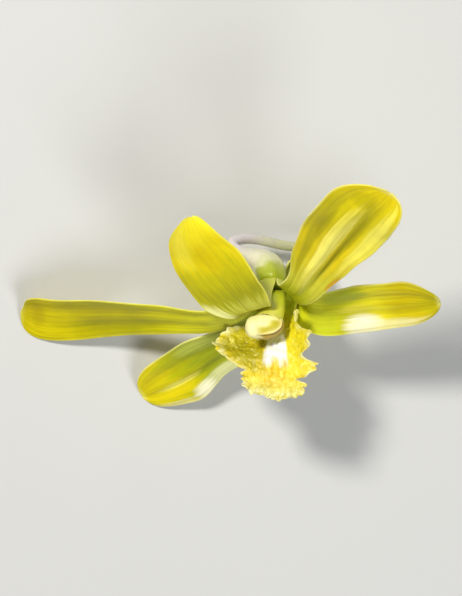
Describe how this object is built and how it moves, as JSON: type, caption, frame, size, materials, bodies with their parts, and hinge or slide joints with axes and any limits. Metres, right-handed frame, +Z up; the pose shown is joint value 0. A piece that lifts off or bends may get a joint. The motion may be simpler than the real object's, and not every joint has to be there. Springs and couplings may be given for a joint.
{
  "type": "dendrobium orchid flower",
  "caption": "Single dendrobium orchid flower with its pedicel: long narrow spreading petals, a hooded spur, a frilled lip and a capped column, lying face up.",
  "frame": {"origin": "bottom centre of the bounding box, on the surface that the picked flower lies on", "axes": "+Z up, out of the surface; +X to the flower's right as it faces up, along its longest spread; +Y towards its dorsal sepal"},
  "size_m": [0.065, 0.0418, 0.0486],
  "materials": {
    "sepal": "waxy plant tissue, satin, chartreuse with golden tips, cream on the back",
    "petal": "waxy plant tissue, satin, olive yellow with golden tips and rims",
    "lip": "soft crisped tissue, golden yellow with a white callus and pale frilled margin",
    "pedicel": "smooth stem, cream white to pale green, matt cut end",
    "column": "waxy, satin, yellow green below, cream above",
    "anther_cap": "waxy, satin, cream with a yellow crown and pinkish rim",
    "pollen": "waxy golden pollen masses"
  },
  "bodies": {
    "root": {"dorsal_sepal": "sepal", "lateral_sepal_right": "sepal", "lateral_sepal_left": "sepal", "petal_right": "petal", "petal_left": "petal", "labellum": "lip", "pedicel": "pedicel", "column": "column", "anther_cap": "anther_cap", "pollinium_1": "pollen", "pollinium_2": "pollen", "pollinium_3": "pollen", "pollinium_4": "pollen"}
  },
  "joints": []
}
